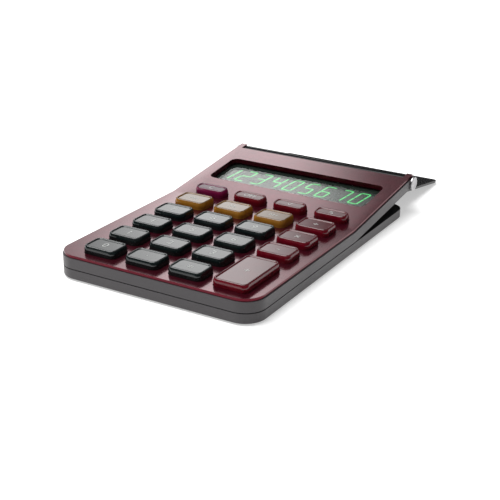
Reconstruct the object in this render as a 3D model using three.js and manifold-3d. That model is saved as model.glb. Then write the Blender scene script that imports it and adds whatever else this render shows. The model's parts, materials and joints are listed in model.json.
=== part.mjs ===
// A pocket calculator with a tilted display and a flip-over display cover.
// Millimetres, +X to the right, +Y to the back, +Z up. The origin is on the table,
// in the middle of the space that the calculator takes with its cover open.
//
// The body is a thin slab bent upwards at a crease: the key area lies flat, and the display
// panel behind it rises. A flat tray closes the slab from below, and runs on under the panel as
// a tongue that holds the battery. The display cover turns about a barrel behind the display.

import * as THREE from 'three';
import { mergeVertices } from 'three/addons/utils/BufferGeometryUtils.js';
import Module from 'manifold-3d';

const wasm = await Module();
wasm.setup();

// ---------------------------------------------------------------- driving sizes

// Body
const bodyWidth = 72;
const topHeight = 8.4; // table to the faceplate's top, over the key area
const seamHeight = 3.9; // table to the joint between the two cases
const seamGap = 0.25;
const panelTilt = THREE.MathUtils.degToRad(6.3);
const frontCorner = 7;
const tongueCorner = 5;
const tongueLength = 40.7; // crease to the end of the tongue
const wall = 1.2;
const innerCorner = 1; // of the cases' hollows, at the crease
const trayFloor = 0.9;
const panelFloor = 0.7;
const keyWeb = 0.8; // the upper case's top, under the faceplate
const tongueDeck = 0.7;
const plateThickness = 0.9;
const plateInset = 0.4; // the faceplate's edge, in from the case's side
const bond = 0.1; // glue between faceplate and case
const fit = 0.15; // loose fit of one fixed piece in another
const threadGap = 0.02; // screw to its pilot hole

// Keys
const keyWidth = 12;
const keyDepth = 8.6;
const panelKeyDepth = 5;
const keyCorner = 2;
const keyPitchX = 15.65;
const keyPitchY = 12.42;
const keyShiftX = 1.65; // the key field sits right of the middle
const frontMargin = 3.875; // body's front edge to the first row
const keyStand = 2.5; // key's top above the faceplate
const keyTravel = 0.9;
const keyGap = 0.15; // round each key, in its hole
const keyEdge = 0.45; // bevel of the cap's top edge
const flangeOverhang = 0.45;
const flangeThickness = 0.5;
const creaseMargin = 3.145; // last flat row to the crease
const panelRowMargin = 1.475; // crease to the row on the panel

// Display
const windowWidth = 62;
const windowHeight = 18.3;
const windowCorner = 2.5;
const windowMargin = 9.225; // row on the panel to the window
const collarWall = 0.8; // the faceplate's rim round the window, down to the lens
const lensDepth = 1.8; // lens below the faceplate's top
const lensThickness = 0.5;
const lensLedge = 0.75; // lens past the glass's room, all round
const lensCorner = 1;
const glassOverlap = 0.5; // glass past the window's edge
const glassThickness = 0.55; // each of the display's two plates
const glassLedge = 1.2; // lower plate's free edge, where the ribbon joins it
const glassCorner = 0.3;
const glassGap = 0.175; // glass to the lens above it

// Hinge and cover
const hingeMargin = 12.45; // window to the hinge's axis
const hingeRise = 1.325; // axis above the case's underside
const earThickness = 2.6;
const earTail = 1.4; // slab past the axis, beside the slot
const slotFront = 2.85; // slot's front wall to the axis
const barrelRadius = 2.65;
const earRadius = 2.7;
const pinRadius = 0.75;
const pinGap = 0.1;
const sideGap = 0.3; // barrel to ear
const capRadius = 2.5;
const capThickness = 0.6;
const capStem = 1.25;
const capReach = 0.7; // cap's face past the case's side
const coverThickness = 1;
const coverGap = 0.25; // closed cover above the faceplate
const coverInset = 0.4; // cover's side, in from the barrel's end
const coverOverlap = 3.75; // closed cover past the window's front edge
const coverLip = 2.6; // cover's back edge past the axis
const coverArm = 1.4; // half the depth of the web between barrel and cover
const coverCorner = 1.5;
const coverLipCorner = 0.6;
const tableGap = 0.4; // open cover's edge above the table

// Inside
const boardThickness = 1;
const boardGap = 0.6; // boards to the cases' walls
const boardCorner = 0.5;
const panelBoardThickness = 0.55;
const fieldMargin = 1; // rubber mats past the outer keys
const keyStop = 0.6; // pressed key above its mat
const matThickness = 0.3;
const domeRadius = 3;
const domeTopRadius = 1.8;
const panelDomeRadius = 2;
const panelDomeTopRadius = 1.2;
const domeGap = 0.1; // dome to key
const bossRadius = 1.3;
const bossGap = 0.25; // to the flange of the key on its right
const shoulderRadius = 2.4;
const pegDrop = 0.225; // top of the tray's pegs below the board's top
const screwRadius = 0.6;
const screwHead = 1.25;
const screwHeadHeight = 0.8;
const screwSlot = 0.7; // the cross slot's reach over the head's radius
const screwSink = 0.3; // screw's head above the case's underside
const screwRows = [0, 3]; // a screw stands behind each of these rows
const screwColumns = [0, 2]; // and right of each of these columns
const footRadius = 3;
const footHeight = 0.75;
const footProud = 0.5;
const footInset = 8; // foot's centre from the body's sides and ends
const chipRadius = 3.4;
const chipSteps = 5;
const ribbonThickness = 0.15;
const ribbonWidth = 24;
const ribbonSlack = 0.5; // the ways through for the ribbons, past each edge
const ribbonLap = 2; // ribbon on a board
const cellRadius = 10;
const cellThickness = 1.2;
const cellStep = 1.3; // the cell's smaller end, in from its rim
const cellBevel = 0.3;
const cellPlace = 18; // cell's centre behind the crease
const contactThickness = 0.15;
const contactWidth = 3;
const contactSpread = 5; // each contact from the middle
const contactStart = 0.4; // contacts' ends inside the tray
const contactReach = 3; // the contacts' ways past the cell's rim
const contactBend = 4; // bend to the cell's centre
const doorThickness = 0.5;
const doorWidth = 27;
const doorLength = 25;
const doorCorner = 1.35;
const doorTab = 0.6; // cover's tab round its screw
const doorScrewHead = 0.35;

// ---------------------------------------------------------------- places worked out from them

const flatRows = 5;
const columns = 4;
const slabDepth = topHeight - seamHeight - seamGap / 2; // faceplate's top to the case's underside
const hingeDepth = slabDepth - hingeRise;
const plateSeat = plateThickness + bond;
const caseBottom = footProud;
const trayTop = seamHeight - seamGap / 2;
const rowFront = (row) => frontMargin + row * keyPitchY;
const creaseY = rowFront(flatRows - 1) + keyDepth + creaseMargin;
const columnX = (column) => keyShiftX + (column - (columns - 1) / 2) * keyPitchX;
const panelRowMiddle = panelRowMargin + panelKeyDepth / 2;
const windowFront = panelRowMargin + panelKeyDepth + windowMargin;
const windowMiddle = windowFront + windowHeight / 2;
const windowBack = windowFront + windowHeight;
const hingeS = windowBack + hingeMargin;
const slotHalf = bodyWidth / 2 - earThickness;
const tongueEnd = creaseY + tongueLength;
const webUnderside = topHeight - plateSeat - keyWeb;
const flatKeyZ = webUnderside - fit - flangeThickness;
const matBottom = flatKeyZ - keyTravel - keyStop - matThickness;
const boardTop = matBottom - fit;
const boardBottom = boardTop - boardThickness;
const pegTop = boardTop - pegDrop;
const floorDepth = slabDepth - panelFloor; // panel's inner floor, below the faceplate's top
const tilt = { sin: Math.sin(panelTilt), cos: Math.cos(panelTilt) };

// The panel's own frame: x across, y back from the crease, z up from the faceplate's top.
const panelFrame = new THREE.Matrix4()
  .makeTranslation(0, creaseY, topHeight)
  .multiply(new THREE.Matrix4().makeRotationX(panelTilt));

const hinge = {
  y: creaseY + hingeS * tilt.cos + hingeDepth * tilt.sin,
  z: topHeight + hingeS * tilt.sin - hingeDepth * tilt.cos,
};
const coverInner = hingeDepth + coverGap; // axis to the cover's inner face
const coverOuter = coverInner + coverThickness;
const coverLength = hingeS - windowFront + coverOverlap; // axis to the cover's free edge
// The open cover slopes down until its free edge is just above the table.
const coverDrop = Math.asin((hinge.z - tableGap) / Math.hypot(coverLength, coverOuter));
const coverSlope = coverDrop - Math.atan2(coverOuter, coverLength);
const coverTipY = hinge.y + coverLength * Math.cos(coverSlope) - coverInner * Math.sin(coverSlope);

// ---------------------------------------------------------------- solids and cuts

const curve = { fine: 5, plain: 2, round: 16 };

function solid(geometry) {
  const bare = geometry.clone();
  bare.deleteAttribute('normal');
  bare.deleteAttribute('uv');
  const merged = mergeVertices(bare, 1e-4);
  return new wasm.Manifold(
    new wasm.Mesh({
      numProp: 3,
      vertProperties: Float32Array.from(merged.attributes.position.array),
      triVerts: Uint32Array.from(merged.index.array),
    }),
  );
}

function geometryOf(manifold) {
  const { vertProperties, triVerts } = manifold.getMesh();
  const shared = new THREE.BufferGeometry();
  shared.setAttribute('position', new THREE.BufferAttribute(vertProperties, 3));
  shared.setIndex(new THREE.BufferAttribute(triVerts, 1));
  const flat = shared.toNonIndexed();
  flat.computeVertexNormals();
  return flat;
}

const cut = (from, ...tools) => tools.reduce((body, tool) => body.subtract(solid(tool)), from);
const join = (to, ...pieces) => pieces.reduce((body, piece) => body.add(solid(piece)), to);

// A flat outline with its own radius at the front and back corners.
function outline(left, right, front, back, frontRadius, backRadius = frontRadius) {
  const shape = new THREE.Shape();
  shape.absarc(left + frontRadius, front + frontRadius, frontRadius, Math.PI, 1.5 * Math.PI);
  shape.absarc(right - frontRadius, front + frontRadius, frontRadius, 1.5 * Math.PI, 2 * Math.PI);
  shape.absarc(right - backRadius, back - backRadius, backRadius, 0, 0.5 * Math.PI);
  shape.absarc(left + backRadius, back - backRadius, backRadius, 0.5 * Math.PI, Math.PI);
  shape.closePath();
  return shape;
}

const rounded = (x, y, width, depth, radius) =>
  outline(x - width / 2, x + width / 2, y - depth / 2, y + depth / 2, radius);

// A prism on an outline seen from above.
function upright(shape, bottom, top, segments = curve.plain) {
  const options = { depth: top - bottom, bevelEnabled: false, curveSegments: segments };
  return new THREE.ExtrudeGeometry(shape, options).translate(0, 0, bottom);
}

// A prism on an outline seen from the side, in y and z, from left to right.
function across(shape, left, right, segments = curve.plain) {
  const options = { depth: right - left, bevelEnabled: false, curveSegments: segments };
  const sideways = new THREE.Matrix4().makeBasis(
    new THREE.Vector3(0, 1, 0),
    new THREE.Vector3(0, 0, 1),
    new THREE.Vector3(1, 0, 0),
  );
  return new THREE.ExtrudeGeometry(shape, options).applyMatrix4(sideways).translate(left, 0, 0);
}

const block = (left, right, front, back, bottom, top) =>
  new THREE.BoxGeometry(right - left, back - front, top - bottom).translate(
    (left + right) / 2,
    (front + back) / 2,
    (bottom + top) / 2,
  );

const post = (radius, x, y, bottom, top, segments = curve.round) =>
  new THREE.CylinderGeometry(radius, radius, top - bottom, segments)
    .rotateX(Math.PI / 2)
    .translate(x, y, (bottom + top) / 2);

const rod = (radius, left, right, y, z, segments = curve.round) =>
  new THREE.CylinderGeometry(radius, radius, right - left, segments)
    .rotateZ(Math.PI / 2)
    .translate((left + right) / 2, y, z);

const onPanel = (geometry) => geometry.applyMatrix4(panelFrame);

function polygon(points) {
  return new THREE.Shape(points.map(([y, z]) => new THREE.Vector2(y, z)));
}

// The side view of the bent slab, between two depths below the faceplate's top.
function bentProfile(upper, lower, front, backS) {
  const crease = (depth) => [creaseY + depth * Math.tan(panelTilt / 2), topHeight - depth];
  const back = (depth) => [
    creaseY + backS * tilt.cos + depth * tilt.sin,
    topHeight + backS * tilt.sin - depth * tilt.cos,
  ];
  return polygon([
    [front, topHeight - lower],
    crease(lower),
    back(lower),
    back(upper),
    crease(upper),
    [front, topHeight - upper],
  ]);
}

// A thin bent strip seen from the side, along a path of straight runs.
function stripProfile(path, thickness) {
  const points = path.map(([y, z]) => new THREE.Vector2(y, z));
  const offset = (side) =>
    points.map((point, i) => {
      const before = points[Math.max(i - 1, 0)];
      const after = points[Math.min(i + 1, points.length - 1)];
      const along = after.clone().sub(before).normalize();
      return point.clone().add(new THREE.Vector2(-along.y, along.x).multiplyScalar((side * thickness) / 2));
    });
  return new THREE.Shape([...offset(-1), ...offset(1).reverse()]);
}

// ---------------------------------------------------------------- the key field

// Front to back, then left to right. The plus key takes the place of two rows.
const keyNames = [
  ['key_0', 'key_point', 'key_equals', 'key_plus'],
  ['key_1', 'key_2', 'key_3', null],
  ['key_4', 'key_5', 'key_6', 'key_minus'],
  ['key_7', 'key_8', 'key_9', 'key_times'],
  ['key_memory_recall', 'key_memory_minus', 'key_memory_plus', 'key_divide'],
  ['key_clear', 'key_off', 'key_root', 'key_percent'],
];

const keys = keyNames.flatMap((names, row) =>
  names.flatMap((name, column) => {
    if (!name) return [];
    const tall = name === 'key_plus';
    const onPanelRow = row === flatRows;
    const depth = onPanelRow ? panelKeyDepth : keyDepth + (tall ? keyPitchY : 0);
    const front = onPanelRow ? panelRowMargin : rowFront(row);
    return [{ name, row, column, depth, x: columnX(column), y: front + depth / 2, onPanelRow }];
  }),
);
const flatKeys = keys.filter((key) => !key.onPanelRow);
const panelKeys = keys.filter((key) => key.onPanelRow);

const keyHole = (key, bottom, top) =>
  upright(
    rounded(key.x, key.y, keyWidth + 2 * keyGap, key.depth + 2 * keyGap, keyCorner + keyGap),
    bottom,
    top,
  );

// Screw posts stand between two rows, close to the column on their right.
const crossings = screwRows.flatMap((row) =>
  screwColumns.map((column) => ({
    x: columnX(column + 1) - keyWidth / 2 - flangeOverhang - bossGap - bossRadius,
    y: (rowFront(row) + keyDepth + rowFront(row + 1)) / 2,
  })),
);

// ---------------------------------------------------------------- cases

const beyond = 20; // how far a cutting tool runs past what it cuts
const panelRoomFront = panelRowMargin - flangeOverhang - 2 * fit;
const panelRoomBack = panelRowMargin + panelKeyDepth + flangeOverhang + ribbonLap;
const glassHalf = windowWidth / 2 + glassOverlap;
const glassFront = windowFront - glassOverlap - glassLedge;
const glassBack = windowBack + glassOverlap;
const lensHalf = glassHalf + fit + lensLedge; // the lens's room
const lensFront = glassFront - fit - lensLedge;
const lensBack = glassBack + fit + lensLedge;
const lensSeat = lensDepth + lensThickness + bond; // depth of the ledge under the lens
const glassDepth = lensDepth + lensThickness + glassGap + 2 * glassThickness; // its underside
const ribbonHalf = ribbonWidth / 2;
const ribbonWay = ribbonHalf + ribbonSlack;
const trayBack = creaseY - wall;
const capInner = bodyWidth / 2 + capReach - capThickness;

const sidesOf = (build) => [-1, 1].map(build);

// A rod on the hinge's axis, on each side, between two distances from the middle.
const sideRods = (radius, inner, outer) =>
  sidesOf((side) => {
    const ends = [side * inner, side * outer];
    return rod(radius, Math.min(...ends), Math.max(...ends), hinge.y, hinge.z);
  });

// The slot for the cover's barrel, between the ears.
const barrelSlot = () =>
  onPanel(block(-slotHalf, slotHalf, hingeS - slotFront, hingeS + beyond, -beyond, beyond));

const trayHollow = () =>
  outline(wall - bodyWidth / 2, bodyWidth / 2 - wall, wall, trayBack, frontCorner - wall, innerCorner);

function upperCase() {
  const half = bodyWidth / 2;
  const slab = solid(across(bentProfile(plateSeat, slabDepth, 0, hingeS + earTail), -half, half));
  const plan = outline(-half, half, 0, hinge.y + beyond, frontCorner);
  const shell = join(
    slab.intersect(solid(upright(plan, -beyond, 2 * beyond, curve.fine))),
    ...sideRods(earRadius, slotHalf, half),
  );
  const hollow = cut(
    shell,
    onPanel(block(-bodyWidth, bodyWidth, hingeS - beyond / 2, hingeS + beyond, -plateSeat, beyond)),
    barrelSlot(),
    rod(barrelRadius + sideGap, -slotHalf, slotHalf, hinge.y, hinge.z, 2 * curve.round),
    upright(trayHollow(), -beyond, webUnderside, curve.fine),
    ...flatKeys.map((key) => keyHole(key, seamHeight, topHeight + beyond)),
  );
  const postTop = webUnderside + keyWeb / 2;
  const posts = crossings.map(({ x, y }) => post(bossRadius, x, y, pegTop + seamGap, postTop));
  const pilots = crossings.map(({ x, y }) => post(screwRadius + threadGap, x, y, 0, webUnderside - fit));
  const roomHalf = half - wall - plateInset;
  const lensMiddle = (lensFront + lensBack) / 2;
  const lensRoom = rounded(0, lensMiddle, 2 * lensHalf, lensBack - lensFront, lensCorner);
  const glassRoom = glassHalf + fit;
  const ribbonRoof = webUnderside - fit;
  return cut(
    join(hollow, ...posts),
    ...pilots,
    // Room for the panel's row of keys, with their board
    onPanel(block(-roomHalf, roomHalf, panelRoomFront, panelRoomBack, -floorDepth, beyond)),
    // The way through for the ribbon from the main board
    block(
      -ribbonWay,
      ribbonWay,
      trayBack - wall,
      creaseY + panelRoomFront + wall,
      topHeight - floorDepth + fit,
      ribbonRoof,
    ),
    // The display's room, the ledge for its lens, and the way through for its ribbon
    onPanel(block(-glassRoom, glassRoom, glassFront - fit, glassBack + fit, -glassDepth - bond, beyond)),
    onPanel(upright(lensRoom, -lensSeat, beyond)),
    onPanel(block(-ribbonWay, ribbonWay, panelRoomBack - wall, glassFront, -floorDepth, -lensDepth)),
    // The pin's holes in the ears, wider outside where the caps' stems sit
    rod(pinRadius + pinGap, -bodyWidth, bodyWidth, hinge.y, hinge.z),
    ...sideRods(capStem + fit, half - earThickness / 2, bodyWidth),
  );
}

// A bent sheet with a rim round its window that holds the lens down.
function faceplate() {
  const half = bodyWidth / 2 - plateInset;
  const side = across(bentProfile(0, plateThickness, plateInset, hingeS + earTail - plateInset), -half, half);
  const plan = outline(-half, half, plateInset, hinge.y + beyond, frontCorner - plateInset);
  const sheet = solid(side).intersect(solid(upright(plan, -beyond, 2 * beyond, curve.fine)));
  const windowOutline = (margin) =>
    rounded(0, windowMiddle, windowWidth + 2 * margin, windowHeight + 2 * margin, windowCorner + margin);
  const collar = upright(windowOutline(collarWall), -(lensDepth - bond), -plateThickness / 2);
  return cut(
    join(sheet, onPanel(collar)),
    ...flatKeys.map((key) => keyHole(key, 0, topHeight + 1)),
    ...panelKeys.map((key) => onPanel(keyHole(key, -beyond, beyond))),
    onPanel(upright(windowOutline(0), -beyond, beyond)),
    barrelSlot(),
  );
}

const feet = sidesOf((side) => side * (bodyWidth / 2 - footInset)).flatMap((x) =>
  [footInset, tongueEnd - footInset].map((y) => ({ x, y })),
);
const cellY = creaseY + cellPlace;
const doorTop = caseBottom + fit / 3 + doorThickness;
const cellBottom = doorTop + fit;
const cellTop = cellBottom + cellThickness;
const cellRoof = trayTop - tongueDeck;
const caseScrewZ = caseBottom + screwSink + screwHeadHeight; // under the case screws' heads
const doorOutline = (margin) =>
  rounded(0, cellY, doorWidth + 2 * margin, doorLength + 2 * margin, doorCorner + margin);
const doorScrewY = cellY + doorLength / 2 + doorTab;

function lowerCase() {
  const plan = outline(-bodyWidth / 2, bodyWidth / 2, 0, tongueEnd, frontCorner, tongueCorner);
  const tray = cut(
    solid(upright(plan, caseBottom, trayTop, curve.fine)),
    upright(trayHollow(), caseBottom + trayFloor, beyond, curve.fine),
  );
  const shoulders = crossings.map(({ x, y }) => post(shoulderRadius, x, y, caseBottom, boardBottom - bond));
  const pegs = crossings.map(({ x, y }) => post(bossRadius - bond, x, y, caseBottom, pegTop));
  const screwSeat = caseScrewZ + bond;
  const seatTop = doorTop + fit / 2;
  const wayHalf = contactWidth / 2 + fit;
  return cut(
    join(tray, ...shoulders, ...pegs),
    ...crossings.map(({ x, y }) => post(screwHead + fit, x, y, -beyond, screwSeat)),
    ...crossings.map(({ x, y }) => post(screwRadius + fit, x, y, -beyond, beyond)),
    ...feet.map(({ x, y }) => post(footRadius + fit, x, y, -beyond, footHeight + bond)),
    // The battery's well, its cover's seat and the cover's screw
    post(cellRadius + 2 * fit, 0, cellY, -beyond, cellRoof, 2 * curve.round),
    upright(doorOutline(fit), -beyond, seatTop),
    post(screwHead + doorTab + fit, 0, doorScrewY, -beyond, seatTop),
    post(screwRadius + threadGap, 0, doorScrewY, -beyond, cellRoof),
    // The contacts' ways from the well to the tray
    ...sidesOf((side) => {
      const middle = side * contactSpread;
      const wayEnd = cellY - cellRadius + contactReach;
      return block(middle - wayHalf, middle + wayHalf, trayBack - wall, wayEnd, cellBottom, cellRoof);
    }),
  );
}

// ---------------------------------------------------------------- keys

// A cap with a bevelled top edge, on a flange that the case holds down. The key's own frame has
// its z at the flange's underside.
function keySolid(key, capTop) {
  const top = rounded(0, 0, keyWidth - 2 * keyEdge, key.depth - 2 * keyEdge, keyCorner - keyEdge);
  const cap = new THREE.ExtrudeGeometry(top, {
    depth: capTop - 2 * keyEdge,
    bevelThickness: keyEdge,
    bevelSize: keyEdge,
    bevelSegments: 1,
    curveSegments: curve.plain,
  }).translate(0, 0, keyEdge);
  const flange = rounded(0, 0, keyWidth + 2 * flangeOverhang, key.depth + 2 * flangeOverhang, keyCorner);
  return join(solid(cap), upright(flange, 0, flangeThickness));
}

const panelKeyZ = -(plateThickness + fit + flangeThickness); // in the panel's frame

// ---------------------------------------------------------------- electronics

const domeMargin = domeRadius + 2 * fit; // dome's centre to the edge of its mat
const panelDomeMargin = panelDomeRadius + 2 * fit;
const matBack = rowFront(flatRows - 1) + keyDepth / 2 + domeMargin;
const fieldLeft = columnX(0) - keyWidth / 2 - fieldMargin;
const fieldRight = columnX(columns - 1) + keyWidth / 2 + fieldMargin;

function dome(x, y, bottom, top, topRadius, radius) {
  return new THREE.CylinderGeometry(topRadius, radius, top - bottom, curve.round / 2)
    .rotateX(Math.PI / 2)
    .translate(x, y, (bottom + top) / 2);
}

function mat(matKeys, sheetOutline, bottom, domeHeight, radii, holes) {
  const sheet = solid(upright(sheetOutline, bottom, bottom + matThickness));
  const domes = matKeys.map(({ x, y }) => dome(x, y, bottom + matThickness / 2, domeHeight, ...radii));
  return cut(join(sheet, ...domes), ...holes);
}

function keyMat() {
  const holes = crossings.map(({ x, y }) => post(bossRadius + 2 * fit, x, y, 0, topHeight));
  const front = wall + boardGap;
  const sheetOutline = outline(fieldLeft, fieldRight, front, matBack, frontCorner - wall, innerCorner);
  const radii = [domeTopRadius, domeRadius];
  return mat(flatKeys, sheetOutline, matBottom, flatKeyZ - domeGap, radii, holes);
}

const panelBoardDepth = floorDepth - bond; // its underside, below the faceplate's top
const panelBoardTop = panelBoardDepth - panelBoardThickness;

function panelKeyMat() {
  const front = panelRowMiddle - panelDomeMargin;
  const back = panelRowMiddle + panelDomeMargin;
  const sheetOutline = outline(fieldLeft, fieldRight, front, back, innerCorner);
  const radii = [panelDomeTopRadius, panelDomeRadius];
  return mat(panelKeys, sheetOutline, -panelBoardTop + bond / 2, panelKeyZ - domeGap, radii, []);
}

function mainBoard() {
  const margin = fieldMargin / 2;
  const front = wall + boardGap;
  const back = trayBack - boardGap;
  const corner = frontCorner - wall;
  const board = outline(fieldLeft - margin, fieldRight + margin, front, back, corner, innerCorner);
  return cut(
    solid(upright(board, boardBottom, boardTop)),
    ...crossings.map(({ x, y }) => post(bossRadius, x, y, 0, topHeight)),
  );
}

function panelBoard() {
  const margin = fieldMargin / 2;
  const front = panelRoomFront + fit;
  const back = panelRoomBack - fit;
  const board = outline(fieldLeft - margin, fieldRight + margin, front, back, boardCorner);
  return upright(board, -panelBoardDepth, -panelBoardTop);
}

// Two glass plates, the lower one longer in front.
function displayGlass() {
  const bottom = -glassDepth;
  const plate = (front, low, high) =>
    upright(rounded(0, (front + glassBack) / 2, 2 * glassHalf, glassBack - front, glassCorner), low, high);
  return join(
    solid(plate(glassFront, bottom, bottom + glassThickness)),
    plate(glassFront + glassLedge, bottom + glassThickness / 2, bottom + 2 * glassThickness),
  );
}

function lens() {
  const middle = (lensFront + lensBack) / 2;
  const shape = rounded(0, middle, 2 * (lensHalf - fit), lensBack - lensFront - 2 * fit, lensCorner);
  return upright(shape, -lensDepth - lensThickness, -lensDepth);
}

// The main board's top edge to the panel board's top edge, through the way in the case.
function boardRibbon() {
  const lift = ribbonThickness / 2 + bond;
  const landing = (s) => [
    creaseY + s * tilt.cos + (panelBoardTop - lift) * tilt.sin,
    topHeight + s * tilt.sin - (panelBoardTop - lift) * tilt.cos,
  ];
  const path = [
    [matBack + fit, boardTop + lift],
    [trayBack - boardGap, boardTop + lift],
    [trayBack + fit, landing(panelRoomFront)[1]],
    landing(panelRoomFront + fit),
    landing(panelRowMiddle - panelDomeMargin - fit),
  ];
  return across(stripProfile(path, ribbonThickness), -ribbonHalf, ribbonHalf);
}

// The panel board's top to the glass's free edge, up a slope where the two differ in height.
function displayRibbon() {
  const lift = (ribbonThickness + bond) / 2;
  const boardLevel = -panelBoardTop + lift;
  const glassLevel = glassThickness - glassDepth + lift;
  const path = [
    [panelRowMiddle + panelDomeMargin + fit, boardLevel],
    [panelRoomBack - wall, boardLevel],
    [glassFront - 2 * fit, glassLevel],
    [glassFront + glassLedge - fit, glassLevel],
  ];
  return across(stripProfile(path, ribbonThickness), -ribbonHalf, ribbonHalf);
}

// A glued dome under the main board, flat against it.
function controllerChip() {
  const height = boardBottom - bond - (caseBottom + trayFloor) - fit;
  const profile = [];
  for (let step = 0; step <= chipSteps; step += 1) {
    const turn = (step / chipSteps) * (Math.PI / 2);
    profile.push(new THREE.Vector2(chipRadius * Math.sin(turn), -height * Math.cos(turn)));
  }
  profile.push(new THREE.Vector2(0, 0));
  return new THREE.LatheGeometry(profile, curve.round)
    .rotateX(Math.PI / 2)
    .translate(keyShiftX, (rowFront(1) + rowFront(2)) / 2 + keyDepth, boardBottom - bond);
}

// ---------------------------------------------------------------- battery

function batteryCell() {
  const profile = [
    [0, 0],
    [cellRadius, 0],
    [cellRadius, cellThickness - cellBevel],
    [cellRadius - cellStep + cellBevel, cellThickness - cellBevel],
    [cellRadius - cellStep, cellThickness],
    [0, cellThickness],
  ].map(([radius, height]) => new THREE.Vector2(radius, height));
  return new THREE.LatheGeometry(profile, curve.round).rotateX(Math.PI / 2).translate(0, cellY, cellBottom);
}

function contact(side, path) {
  const middle = side * contactSpread;
  return across(stripProfile(path, contactThickness), middle - contactWidth / 2, middle + contactWidth / 2);
}

const contactHeight = cellRoof - contactThickness / 2 - bond / 2;

// Each contact starts behind the main board, at its underside, and turns back over the tray.
const contactRoot = [
  [trayBack - contactStart, boardBottom - bond / 2],
  [trayBack - contactStart / 2, contactHeight],
];

// Over the cell, pressing on its smaller end.
function negativeContact() {
  return contact(-1, [
    ...contactRoot,
    [cellY - contactBend, contactHeight],
    [cellY, cellTop + contactThickness / 2 + bond / 2],
  ]);
}

// Beside the cell, turned down against its rim.
function positiveContact() {
  const rimY = cellY - Math.sqrt(cellRadius ** 2 - (contactSpread - contactWidth / 2) ** 2);
  return contact(1, [
    ...contactRoot,
    [rimY - 4 * fit, contactHeight],
    [rimY - 2 * fit, cellBottom + contactThickness],
  ]);
}

function batteryCover() {
  const plate = solid(upright(doorOutline(0), doorTop - doorThickness, doorTop));
  return cut(
    join(plate, post(screwHead + doorTab, 0, doorScrewY, doorTop - doorThickness, doorTop)),
    post(screwRadius + fit, 0, doorScrewY, -beyond, beyond),
  );
}

// A pan-head screw with a cross slot, head down. Its z is 0 under the head.
function screw(length, headHeight) {
  const body = join(
    solid(post(screwHead, 0, 0, -headHeight, 0)),
    post(screwRadius, 0, 0, -headHeight / 2, length),
  );
  const slot = screwHead * screwSlot;
  const depth = headHeight / 2;
  return cut(
    body,
    block(-slot, slot, -slot / 4, slot / 4, -headHeight - 1, depth - headHeight),
    block(-slot / 4, slot / 4, -slot, slot, -headHeight - 1, depth - headHeight),
  );
}

// ---------------------------------------------------------------- cover and hinge

// In the cover's own frame: y along the cover from the hinge's axis, z up through it when open.
function displayCover() {
  const barrelHalf = slotHalf - sideGap;
  const coverHalf = barrelHalf - coverInset;
  const flap = outline(-coverHalf, coverHalf, -coverLip, coverLength, coverLipCorner, coverCorner);
  return cut(
    join(
      solid(rod(barrelRadius, -barrelHalf, barrelHalf, 0, 0)),
      block(-coverHalf, coverHalf, -coverArm, coverArm, -coverOuter + coverThickness / 2, 0),
      upright(flap, -coverOuter, -coverInner),
    ),
    rod(pinRadius + pinGap, -bodyWidth, bodyWidth, 0, 0),
  );
}

function hingePin() {
  const half = bodyWidth / 2 - fit;
  return rod(pinRadius, -half, half, 0, 0);
}

// A turned cap with a chamfered face and a stem over the pin's end, pointing along +X.
function hingeCap() {
  const face = bodyWidth / 2 + capReach;
  const stemEnd = bodyWidth / 2 - earThickness / 2 + fit;
  const chamfer = capThickness / 3;
  const profile = [
    [pinRadius + pinGap, stemEnd],
    [capStem, stemEnd],
    [capStem, capInner],
    [capRadius, capInner],
    [capRadius, face - chamfer],
    [capRadius - chamfer, face],
    [0, face],
    [0, bodyWidth / 2 + fit / 2],
    [pinRadius + pinGap, bodyWidth / 2 + fit / 2],
    [pinRadius + pinGap, stemEnd],
  ].map(([radius, x]) => new THREE.Vector2(radius, x));
  return new THREE.LatheGeometry(profile, curve.round).rotateZ(-Math.PI / 2);
}

// ---------------------------------------------------------------- colours and finishes

const finish = (color, roughness, metalness = 0) => ({ color, roughness, metalness });
const finishes = {
  case: finish(0x56565a, 0.45),
  faceplate: finish(0x5c1f2c, 0.18, 0.2),
  numberKey: finish(0x18221f, 0.15),
  memoryKey: finish(0xc07a1c, 0.2),
  operatorKey: finish(0x7d1016, 0.18),
  clearKey: finish(0x7c1250, 0.18),
  cover: finish(0x101012, 0.25),
  steel: finish(0xc9c9cc, 0.3, 0.9),
  clear: finish(0xd8e0dc, 0.05),
  glass: finish(0x8f9a94, 0.2),
  board: finish(0x1e5b35, 0.5),
  rubber: finish(0x202022, 0.8),
  ribbon: finish(0xa8721c, 0.4),
  epoxy: finish(0x0c0c0c, 0.4),
};

function keyFinish(key) {
  if (key.name === 'key_clear') return finishes.clearKey;
  if (key.row === flatRows || key.column === columns - 1) return finishes.operatorKey;
  return key.row === flatRows - 1 ? finishes.memoryKey : finishes.numberKey;
}

// ---------------------------------------------------------------- assembly

const calculator = new THREE.Group();
calculator.position.set(0, -coverTipY / 2, 0);

const panel = new THREE.Group();
panel.position.set(0, creaseY, topHeight);
panel.rotation.x = panelTilt;

const coverGroup = new THREE.Group();
coverGroup.position.set(0, hinge.y, hinge.z);
coverGroup.rotation.x = -coverSlope;

calculator.add(panel, coverGroup);

function add(parent, name, shape, look) {
  const geometry = shape.isBufferGeometry ? shape : geometryOf(shape);
  const mesh = new THREE.Mesh(geometry, new THREE.MeshStandardMaterial(look));
  mesh.name = name;
  parent.add(mesh);
  return mesh;
}

add(calculator, 'lower_case', lowerCase(), finishes.case);
add(calculator, 'upper_case', upperCase(), finishes.case);
add(calculator, 'faceplate', faceplate(), finishes.faceplate);

for (const key of keys) {
  const parent = key.onPanelRow ? panel : calculator;
  const bottom = key.onPanelRow ? panelKeyZ : flatKeyZ;
  const capTop = keyStand - bottom + (key.onPanelRow ? 0 : topHeight);
  add(parent, key.name, keySolid(key, capTop), keyFinish(key)).position.set(key.x, key.y, bottom);
}

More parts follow.
